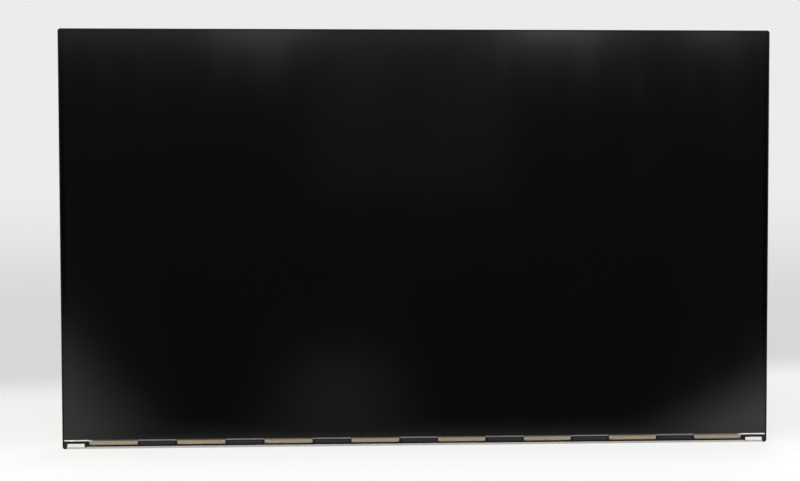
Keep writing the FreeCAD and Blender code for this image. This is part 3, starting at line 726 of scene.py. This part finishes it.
ledLook = {
    "count": 48,
    "half": 3.5 * mm,                 # half the length of one package
    "window": (2.9 * mm, 0.75 * mm),  # half size of the yellow window
    "windowSoft": 0.06 * mm,
    "resin": (0.78, 0.62, 0.14),
    "body": (0.82, 0.82, 0.80),
    "grainSize": 0.1 * mm,
    "grainDepth": 0.004 * mm,
    "roughness": (0.30, 0.42),
}
ledRow = rowOf("led_packages", ledLook["half"], ledLook["count"])


def looksUp(tree):
    return calc(tree, "GREATER_THAN", facing(tree)["Z"], 0.5)


def ledPackage(look):
    material, tree, sockets = newMaterial("yellowLedPackage", coat=0.3, coatRoughness=0.2)
    low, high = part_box("led_packages")
    halfLength, halfDepth = look["window"]
    soft = look["windowSoft"]
    along = fade(tree, unsigned(tree, offsetIn(tree, ledRow)), halfLength + soft, halfLength)
    aside = unsigned(tree, minus(tree, split(tree, spot(tree))["Y"], (low.y + high.y) / 2))
    window = times(tree, along, fade(tree, aside, halfDepth + soft, halfDepth), looksUp(tree))
    pits = use(tree, grain, Size=look["grainSize"])
    paint(tree, sockets, tint(tree, window, look["body"], look["resin"]),
          vary(tree, pits["Drift"], *look["roughness"]), bump(tree, pits["Height"], look["grainDepth"]))
    return material


ledBoardLook = {
    "mask": (0.80, 0.80, 0.78),       # white lacquer of the board
    "pad": (0.62, 0.56, 0.48),        # tinned pads at the ends of the packages
    "padReach": (0.4 * mm, 0.3 * mm),
    "grainSize": 0.2 * mm,
    "grainDepth": 0.005 * mm,
    "roughness": (0.38, 0.50),
}


def ledBoard(look):
    material, tree, sockets = newMaterial("whiteLedBoard")
    past = minus(tree, unsigned(tree, offsetIn(tree, ledRow)), ledLook["half"])
    pads = times(tree, fade(tree, unsigned(tree, past), *look["padReach"]), looksUp(tree))
    pits = use(tree, grain, Size=look["grainSize"])
    paint(tree, sockets, tint(tree, pads, look["mask"], look["pad"]),
          vary(tree, pits["Drift"], *look["roughness"]), bump(tree, pits["Height"], look["grainDepth"]))
    return material


ledTapeLook = {
    "base": (0.30, 0.30, 0.31),
    "speck": (0.8, 1.2),
    "speckSpan": (0.35, 0.65),
    "grainSize": 0.15 * mm,
    "grainDepth": 0.02 * mm,
    "roughness": (0.70, 0.85),
}


def ledTape(look):
    material, tree, sockets = newMaterial("greyHeatTape", specular=0.3)
    pits = use(tree, grain, Size=look["grainSize"])
    speck = fade(tree, pits["Height"], *look["speckSpan"], *look["speck"])
    paint(tree, sockets, tint(tree, 1.0, look["base"], speck, "MULTIPLY"),
          vary(tree, pits["Drift"], *look["roughness"]), bump(tree, pits["Height"], look["grainDepth"]))
    return material


contactSpec = {
    "half": 0.175 * mm,      # half the width of one contact
    "signalCount": 30,
    "ledCount": 6,
}
contactLow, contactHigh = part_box("signal_contacts")
contactRow = rowOf("signal_contacts", contactSpec["half"], contactSpec["signalCount"])

boardLook = {
    "mask": (0.010, 0.058, 0.026),
    "track": (0.018, 0.088, 0.040),    # copper under the green lacquer
    "trackSpan": (-0.1, 0.25),
    "edge": (0.20, 0.19, 0.10),        # cut edge of the glass fibre
    "solder": (0.62, 0.61, 0.58),
    "trackPitch": 0.7 * mm,
    "fieldSize": 9 * mm,               # tracks turn from level to upright from field to field
    "levelShare": 0.55,
    "via": 2.6 * mm,
    "viaSpan": (0.10, 0.07),
    "padSpan": (0.30 * mm, 0.26 * mm),  # half width of a soldered pad
    "solderPast": 0.35 * mm,           # solder past the end of each contact
    "depth": 0.03 * mm,
    "metal": 0.9,
    "roughness": (0.42, 0.30),         # of the lacquer and of the solder
}


def greenBoard(look):
    material, tree, sockets = newMaterial("greenCircuitBoard", coat=0.35, coatRoughness=0.15)
    x, y, z = split(tree, spot(tree))
    fields = split(tree, cells(tree, look["fieldSize"], "Color", distance="CHEBYCHEV"))["X"]
    upright = calc(tree, "GREATER_THAN", fields, look["levelShare"])
    level = times(tree, z, minus(tree, 1.0, upright))
    run = calc(tree, "MULTIPLY_ADD", x, upright, level)
    tracks = fade(tree, wave(tree, run, look["trackPitch"]), *look["trackSpan"])
    via = fade(tree, cells(tree, look["via"]), *look["viaSpan"])
    past = look["solderPast"]
    pad = times(tree, fade(tree, unsigned(tree, offsetIn(tree, contactRow)), *look["padSpan"]),
                within(tree, x, contactLow.x - past, contactHigh.x + past),
                within(tree, z, contactLow.z - past, contactHigh.z))
    tin = calc(tree, "MAXIMUM", via, pad)
    lacquer = tint(tree, tracks, look["mask"], look["track"])
    feed(tree, sockets["Metallic"], times(tree, tin, look["metal"]))
    paint(tree, sockets, tint(tree, tin, tint(tree, edgeOn(tree), lacquer, look["edge"]), look["solder"]),
          fade(tree, tin, 0.0, 1.0, *look["roughness"]), bump(tree, tracks, look["depth"]))
    return material


chipLook = {
    "base": (0.014, 0.014, 0.015),
    "dimple": (0.030, 0.030, 0.031),
    "dimpleInset": 1.1 * mm,
    "dimpleSpan": (0.462 * mm, 0.378 * mm),
    "dimpleDepth": 0.06 * mm,
    "grainSize": 0.10 * mm,
    "grainDepth": 0.006 * mm,
    "roughness": (0.52, 0.66),
    "edge": 0.08 * mm,
}


def mouldedChip(name, look):  # the round dimple marks the first leg
    material, tree, sockets = newMaterial(name.replace("_c", "C"), specular=0.4)
    low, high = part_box(name)
    x, y, z = split(tree, spot(tree))
    inset = look["dimpleInset"]
    away = distance(tree, minus(tree, x, low.x + inset), minus(tree, z, high.z - inset))
    dimple = fade(tree, away, *look["dimpleSpan"])
    pits = use(tree, grain, Size=look["grainSize"])
    edge = use(tree, softEdge, Radius=look["edge"])
    fine = bump(tree, pits["Height"], look["grainDepth"], edge["Normal"])
    paint(tree, sockets, tint(tree, dimple, look["base"], look["dimple"]),
          vary(tree, pits["Drift"], *look["roughness"]), bump(tree, dimple, -look["dimpleDepth"], fine))
    return material


rowLooks = {  # board parts with tinned ends
    "coils": {"count": 2, "half": 2.5 * mm, "cap": 0.7 * mm, "body": (0.050, 0.050, 0.054),
              "speck": (0.090, 0.090, 0.095), "end": (0.62, 0.60, 0.57)},
    "capacitors": {"count": 14, "half": 1.0 * mm, "cap": 0.35 * mm, "body": (0.33, 0.225, 0.145),
                   "speck": (0.40, 0.29, 0.20), "end": (0.66, 0.65, 0.62)},
}
rowFinish = {
    "capSoft": 0.05 * mm,
    "speckSpan": (0.4, 0.7),
    "grainSize": 0.12 * mm,
    "grainDepth": 0.01 * mm,
    "roughness": (0.50, 0.32),  # of the body and of the ends
    "edge": 0.12 * mm,
}


def tinnedRow(name, look, finish):
    material, tree, sockets = newMaterial(name + "Body")
    offset = offsetIn(tree, rowOf(name, look["half"], look["count"]))
    inner = look["half"] - look["cap"]
    cap = fade(tree, unsigned(tree, offset), inner, inner + finish["capSoft"])
    pits = use(tree, grain, Size=finish["grainSize"])
    edge = use(tree, softEdge, Radius=finish["edge"])
    body = tint(tree, fade(tree, pits["Height"], *finish["speckSpan"]), look["body"], look["speck"])
    feed(tree, sockets["Metallic"], cap)
    paint(tree, sockets, tint(tree, cap, body, look["end"]), fade(tree, cap, 0.0, 1.0, *finish["roughness"]),
          bump(tree, pits["Height"], finish["grainDepth"], edge["Normal"]))
    return material


plugLook = {
    "base": (0.66, 0.61, 0.50),
    "shade": (0.56, 0.51, 0.41),      # flow marks of the moulding
    "shadeSpan": (0.35, 0.7),
    "flow": 6 * mm,
    "flowStretch": (1.0, 1.0, 0.25),
    "grainSize": 0.15 * mm,
    "grainDepth": 0.006 * mm,
    "roughness": (0.36, 0.48),
    "edge": 0.10 * mm,
}


def plugPlastic(look):
    material, tree, sockets = newMaterial("ivoryPlugPlastic")
    pits = use(tree, grain, Size=look["grainSize"])
    edge = use(tree, softEdge, Radius=look["edge"])
    flow = noise(tree, stretch(tree, spot(tree), look["flowStretch"]), 1 / look["flow"])
    paint(tree, sockets, tint(tree, fade(tree, flow, *look["shadeSpan"]), look["base"], look["shade"]),
          vary(tree, pits["Drift"], *look["roughness"]),
          bump(tree, pits["Height"], look["grainDepth"], edge["Normal"]))
    return material


contactLook = {
    "gold": (0.78, 0.58, 0.26),
    "worn": (0.66, 0.60, 0.50),
    "grainSize": 0.08 * mm,
    "grainDepth": 0.002 * mm,
    "roughness": (0.22, 0.34),
    "edge": 0.03 * mm,
}


def contactMetal(look):
    material, tree, sockets = newMaterial("goldContacts", metallic=1.0)
    pits = use(tree, grain, Size=look["grainSize"])
    edge = use(tree, softEdge, Radius=look["edge"])
    rubbed = times(tree, edge["Mask"], pits["Drift"])
    paint(tree, sockets, tint(tree, rubbed, look["gold"], look["worn"]),
          vary(tree, pits["Drift"], *look["roughness"]),
          bump(tree, pits["Height"], look["grainDepth"], edge["Normal"]))
    return material


tinLook = {
    "base": (0.68, 0.67, 0.64),
    "cloud": (0.86, 1.10),
    "grainSize": 0.4 * mm,
    "grainDepth": 0.01 * mm,
    "roughness": (0.26, 0.42),
    "edge": 0.06 * mm,
}


def tinnedMetal(look):
    material, tree, sockets = newMaterial("tinnedTabs", metallic=1.0)
    pits = use(tree, grain, Size=look["grainSize"])
    edge = use(tree, softEdge, Radius=look["edge"])
    cloud = vary(tree, pits["Height"], *look["cloud"])
    paint(tree, sockets, tint(tree, 1.0, look["base"], cloud, "MULTIPLY"),
          vary(tree, pits["Height"], *look["roughness"]),
          bump(tree, pits["Height"], look["grainDepth"], edge["Normal"]))
    return material


linerLook = {
    "base": (0.012, 0.012, 0.012),
    "rubbed": (0.020, 0.020, 0.020),
    "grainSize": 0.1 * mm,
    "ripple": 12 * mm,
    "rippleDepth": 0.05 * mm,
    "roughness": (0.32, 0.44),
}


def blackLiner(look):
    material, tree, sockets = newMaterial("blackLinerFilm")
    ripples = noise(tree, spot(tree), 1 / look["ripple"])
    pits = use(tree, grain, Size=look["grainSize"])
    paint(tree, sockets, tint(tree, pits["Drift"], look["base"], look["rubbed"]),
          vary(tree, ripples, *look["roughness"]), bump(tree, ripples, look["rippleDepth"]))
    return material


screwLook = {
    "count": 4,
    "headRadius": 2.0 * mm,
    "base": (0.60, 0.60, 0.60),
    "ring": (0.72, 0.72, 0.71),
    "ringSpan": (-0.5, 0.9),
    "ringPitch": 0.16 * mm,                # turned rings on the head
    "ringDepth": 0.012 * mm,
    "recess": (0.30, 0.30, 0.31),          # darker and rougher deep in the cross recess
    "recessDepth": (0.05 * mm, 0.30 * mm),
    "recessReach": (1.15 * mm, 1.05 * mm),
    "roughness": (0.26, 0.50),             # of the head and of the recess
    "edge": 0.12 * mm,
}


def screwSteel(look):
    material, tree, sockets = newMaterial("platedScrewSteel", metallic=1.0)
    low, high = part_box("cover_screws")
    x, y, z = split(tree, spot(tree))
    aside = offsetIn(tree, rowOf("cover_screws", look["headRadius"], look["count"]))
    away = distance(tree, aside, minus(tree, z, (low.z + high.z) / 2))
    rings = wave(tree, away, look["ringPitch"])
    sunk = fade(tree, minus(tree, high.y, y), *look["recessDepth"])
    inside = times(tree, sunk, fade(tree, away, *look["recessReach"]))
    tone = tint(tree, fade(tree, rings, *look["ringSpan"]), look["base"], look["ring"])
    edge = use(tree, softEdge, Radius=look["edge"])
    paint(tree, sockets, tint(tree, inside, tone, look["recess"]),
          fade(tree, inside, 0.0, 1.0, *look["roughness"]),
          bump(tree, rings, look["ringDepth"], edge["Normal"]))
    return material


goldMetal = contactMetal(contactLook)
tinMetal = tinnedMetal(tinLook)
dress(screenFilm(screenLook), "front_polarizer")
dress(blackPlastic(plasticLook), "mid_frame")
dress(glassLedge(ledgeLook), "array_glass")
dress(filterGlass(filterLook), "color_filter_glass")
dress(amberFilm(filmLook), "led_tail", *filmNames)
dress(coverSheet(coverLook), "board_cover")
dress(backSteel(steelLook), "back_cover")
dress(whitePad(padLook), "corner_pad_left", "corner_pad_right")
dress(rearFilm(rearLook), "rear_polarizer")
dress(driverChip(driverChipLook), *chipNames)
dress(blackTape(tapeLook), "panel_tape", "board_tape")
for sheetName, sheetLook in sheetLooks.items():
    dress(opticalSheet(sheetName, sheetLook), sheetName)
dress(lightGuide(guideLook), "light_guide")
dress(whiteReflector(reflectorLook), "reflector_sheet")
dress(softRubber(rubberLook), "guide_stop_left", "guide_stop_right")
dress(ledPackage(ledLook), "led_packages")
dress(ledBoard(ledBoardLook), "led_board")
dress(ledTape(ledTapeLook), "led_tape")
dress(greenBoard(boardLook), "source_board")
for partName in ("timing_chip", "power_chip", "memory_chip"):
    dress(mouldedChip(partName, chipLook), partName)
for rowName, rowLook in rowLooks.items():
    dress(tinnedRow(rowName, rowLook, rowFinish), rowName)
dress(plugPlastic(plugLook), "signal_connector", "led_connector")
dress(goldMetal, "signal_contacts", "led_contacts")
dress(tinMetal, "signal_tabs")
dress(blackLiner(linerLook), "cover_liner")
dress(screwSteel(screwLook), "cover_screws")
print("materials dressed")


# Fine metal round the connectors, too small for the solids

stripSpec = {
    "width": 0.36 * mm,
    "thick": 0.06 * mm,
    "length": 2.4 * mm,
    "tip": 0.3 * mm,          # bent end of each strip
    "tipShare": (0.6, 0.4, 1.0),
    "tipLean": 0.5,           # of the thickness, towards the tongue
    "below": 0.45 * mm,       # tip below the mouth of the connector
    "tongueHalf": 0.25 * mm,
}
solderSpec = {
    "size": (0.26 * mm, 0.10 * mm, 0.34 * mm),  # half width, height and half length
    "sphere": {"segments": 12, "ring_count": 8},
    "smooth": math.radians(40),
}


def selectFaces(piece, axis, side):  # faces that look along one axis
    bpy.ops.object.mode_set(mode="EDIT")
    bpy.ops.mesh.select_mode(type="FACE")
    bpy.ops.mesh.select_all(action="DESELECT")
    bpy.ops.object.mode_set(mode="OBJECT")
    for face in piece.data.polygons:
        face.select = face.normal[axis] * side > 0.9
    bpy.ops.object.mode_set(mode="EDIT")


def repeatAlongX(piece, count, pitch):
    row = piece.modifiers.new("row", "ARRAY")
    row.count = count
    row.use_relative_offset = False
    row.use_constant_offset = True
    row.constant_offset_displace = (pitch, 0.0, 0.0)
    bpy.ops.object.modifier_apply(modifier="row")


def finishPiece(piece, name, material):
    piece.name = name
    piece.data.materials.append(material)
    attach(piece, "root")


def addStrips(name, side, spec):  # contacts on one side of the tongue, with bent tips
    low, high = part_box("signal_connector")
    first, pitch = contactRow
    top = high.z - spec["below"] - spec["tip"]
    middle = (low.y + high.y) / 2 + side * (spec["tongueHalf"] + spec["thick"] / 2)
    bpy.ops.object.select_all(action="DESELECT")
    bpy.ops.mesh.primitive_cube_add(size=1.0, location=(first, middle, top - spec["length"] / 2))
    piece = bpy.context.object
    piece.scale = (spec["width"], spec["thick"], spec["length"])
    bpy.ops.object.transform_apply(location=True, rotation=True, scale=True)
    selectFaces(piece, 2, 1)
    lean = (0.0, -side * spec["thick"] * spec["tipLean"], spec["tip"])
    bpy.ops.mesh.extrude_region_move(TRANSFORM_OT_translate={"value": lean})
    bpy.ops.transform.resize(value=spec["tipShare"])
    bpy.ops.object.mode_set(mode="OBJECT")
    repeatAlongX(piece, contactSpec["signalCount"], pitch)
    finishPiece(piece, name, goldMetal)


def addSolder(name, contacts, count, spec):  # low domes where the contacts' tails are soldered down
    first, pitch = rowOf(contacts, contactSpec["half"], count)
    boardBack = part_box("source_board")[1].y
    bpy.ops.object.select_all(action="DESELECT")
    bpy.ops.mesh.primitive_uv_sphere_add(radius=1.0, **spec["sphere"])
    piece = bpy.context.object
    bpy.ops.object.mode_set(mode="EDIT")
    bpy.ops.mesh.select_all(action="SELECT")
    bpy.ops.mesh.bisect(plane_co=(0.0, 0.0, 0.0), plane_no=(0.0, 1.0, 0.0), use_fill=True, clear_inner=True)
    bpy.ops.object.mode_set(mode="OBJECT")
    piece.scale = spec["size"]
    piece.location = (first, boardBack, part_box(contacts)[0].z)
    bpy.ops.object.transform_apply(location=True, rotation=True, scale=True)
    bpy.ops.object.shade_smooth_by_angle(angle=spec["smooth"])
    repeatAlongX(piece, count, pitch)
    finishPiece(piece, name, tinMetal)


addStrips("tongueContactsFront", -1, stripSpec)
addStrips("tongueContactsBack", 1, stripSpec)
addSolder("signalSolder", "signal_contacts", contactSpec["signalCount"], solderSpec)
addSolder("ledSolder", "led_contacts", contactSpec["ledCount"], solderSpec)
print("connector metal made")


# Floor, pale surroundings and lamps

floorSpec = {
    "half": 1.5,
    "tone": (0.90, 0.895, 0.885),      # as it lights the object
    "seen": (0.24, 0.239, 0.237),      # as it is seen, where a shine is added
    "shine": (0.85, 0.715),            # lifts the seen floor to white, in front and behind
    "shineSpan": (-0.12, 0.06),
    "roughness": 0.9,
    "backSpan": (0.45, 0.24),          # it melts into the wall between these depths
    "skew": 0.14,                      # and the far edge runs back to the right
    "roundSpan": (1.48, 0.85),         # distances where it ends on the other sides
    "mirrorSpan": (-0.115, 0.005),     # the screen mirrors it only up to here
    "patches": {                       # and in these patches farther out, where it glows for mirror rays as a painted reflection in the screen
        "left": {"side": -1.0, "slant": 0.33, "span": (0.135, 0.28)},
        "right": {"side": 1.0, "slant": 0.62, "span": (0.10, 0.24)},
    },
    "middle": {"centre": -0.062, "half": (0.105, 0.0), "depth": (-0.90, -0.25), "share": 0.26},
    "patchFront": (-0.012, -0.050),
}
wallSpec = {
    "low": (0.68, 0.68, 0.685),
    "high": (0.835, 0.835, 0.835),
    "span": (-0.095, 0.012),      # sine of the elevation where the wall tone changes
    "dark": (0.015, 0.015, 0.015),
    "darkSpan": (0.35, 0.80),     # dark at the front, except to the camera: cosines of its edge
    "soft": 0.38,                 # share that reaches the object as diffuse light
}


def seenBy(tree):  # rays that see a thing itself, and those among them that come off a mirror
    paths = addNode(tree, "LightPath").outputs
    mirrored = calc(tree, "MAXIMUM", paths["Is Glossy Ray"], paths["Is Transmission Ray"])
    return calc(tree, "MAXIMUM", paths["Is Camera Ray"], mirrored), mirrored


def palePatches(tree, x, y, spec):  # patches of floor that glow for mirror rays only, painting pale reflections into the corners and the middle of the screen
    middle = spec["middle"]
    aside = unsigned(tree, minus(tree, x, middle["centre"]))
    patch = times(tree, fade(tree, aside, *middle["half"]), fade(tree, y, *middle["depth"]), middle["share"])
    for area in spec["patches"].values():
        outward = calc(tree, "MULTIPLY_ADD", y, area["slant"], times(tree, x, area["side"]))
        patch = calc(tree, "MAXIMUM", patch, fade(tree, outward, *area["span"]))
    return times(tree, patch, fade(tree, y, *spec["patchFront"]))


def addFloor(spec):
    bpy.ops.object.select_all(action="DESELECT")
    bpy.ops.mesh.primitive_plane_add(size=2 * spec["half"], location=(0.0, 0.0, cadLow.z))
    floor = bpy.context.object
    floor.name = "floor"
    bpy.ops.object.transform_apply(location=True, rotation=False, scale=True)
    material, tree, sockets = newMaterial("paleFloor", specular=0.1)
    seen, mirrored = seenBy(tree)
    paint(tree, sockets, tint(tree, seen, spec["tone"], spec["seen"]), spec["roughness"])
    x, y, z = split(tree, spot(tree))
    patch = palePatches(tree, x, y, spec)
    shine = fade(tree, y, *spec["shineSpan"], *spec["shine"])
    # painted glow: the patches shine only to mirror rays
    paintedGlow = times(tree, mirrored, patch)
    feed(tree, sockets["Emission Color"], spec["tone"])
    feed(tree, sockets["Emission Strength"], calc(tree, "MULTIPLY_ADD", seen, shine, paintedGlow))
    behind = fade(tree, calc(tree, "MULTIPLY_ADD", x, -spec["skew"], y), *spec["backSpan"])
    around = fade(tree, distance(tree, x, y), *spec["roundSpan"])
    pale = calc(tree, "MAXIMUM", fade(tree, y, *spec["mirrorSpan"]), patch)
    hidden = times(tree, mirrored, minus(tree, 1.0, pale))
    feed(tree, sockets["Alpha"], times(tree, behind, around, minus(tree, 1.0, hidden)))
    floor.data.materials.append(material)


def addSurroundings(spec):
    world = bpy.data.worlds.new("paleSurroundings")
    bpy.context.scene.world = world
    world.use_nodes = True
    tree = world.node_tree
    x, y, z = split(tree, addNode(tree, "TexCoord").outputs["Generated"])
    wall = tint(tree, fade(tree, z, *spec["span"]), spec["low"], spec["high"])
    ahead = fade(tree, times(tree, y, -1.0), *spec["darkSpan"])
    seen, mirrored = seenBy(tree)
    unlit = times(tree, ahead, minus(tree, 1.0, minus(tree, seen, mirrored)))
    background = tree.nodes["Background"].inputs
    feed(tree, background["Color"], tint(tree, unlit, wall, spec["dark"]))
    feed(tree, background["Strength"], fade(tree, seen, 0.0, 1.0, spec["soft"], 1.0))


lampSpecs = {
    "key": {"place": (-0.25, -0.95, 1.15), "aim": (0.0, 0.0, -0.05), "size": (1.3, 0.7), "watts": 15.5},
    "leftFill": {"place": (-1.25, -0.55, 0.35), "aim": (0.0, 0.0, -0.1), "size": (0.7, 0.9), "watts": 7.0},
    "rightFill": {"place": (1.25, -0.55, 0.35), "aim": (0.0, 0.0, -0.1), "size": (0.7, 0.9), "watts": 7.0},
    "back": {"place": (0.55, 1.25, 0.85), "aim": (0.0, 0.0, 0.0), "size": (0.9, 0.6), "watts": 9.0},
}


def addLamp(name, place, aim, size, watts):
    bpy.ops.object.light_add(type="AREA", location=place)
    lamp = bpy.context.object
    lamp.name = name
    lamp.data.shape = "RECTANGLE"
    lamp.data.size, lamp.data.size_y = size
    lamp.data.energy = watts
    lamp.rotation_euler = (Vector(aim) - Vector(place)).to_track_quat("-Z", "Y").to_euler()
    lamp.visible_camera = False
    return lamp


# Pale lights that shine back from the matte screen. Each is set where the screen mirrors it to the camera
# from the given point of the screen.
glowSpecs = {
    "topBand": {"at": (0.0, 0.246), "ahead": 1.50, "size": (2.6, 0.50), "tone": 1.6},
    "topLeftGlow": {"at": (-0.118, 0.218), "ahead": 1.48, "size": (0.165, 0.34), "tone": 3.8},
    "topMiddleGlow": {"at": (0.107, 0.2205), "ahead": 1.48, "size": (0.177, 0.34), "tone": 6.2},
    "topRightGlow": {"at": (0.225, 0.2125), "ahead": 1.48, "size": (0.05, 0.34), "tone": 4.1},
    "upperVeil": {"at": (-0.007, 0.127), "ahead": 1.48, "size": (0.40, 0.54), "tone": 0.115},
}


def addGlow(name, at, ahead, size, tone):
    face = Vector((at[0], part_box("front_polarizer")[0].y, at[1]))
    path = face - Vector(cameraSpec["place"])
    path = path / path.y
    place = face + Vector((path.x, -1.0, path.z)) * ahead
    watts = tone * math.pi * size[0] * size[1]  # an area lamp of this power shines with the given tone
    addLamp(name, place, face, size, watts).visible_diffuse = False


addFloor(floorSpec)
addSurroundings(wallSpec)
for lampName, lampSpec in lampSpecs.items():
    addLamp(lampName, **lampSpec)
for glowName, glowSpec in glowSpecs.items():
    addGlow(glowName, **glowSpec)
print("stage lit")
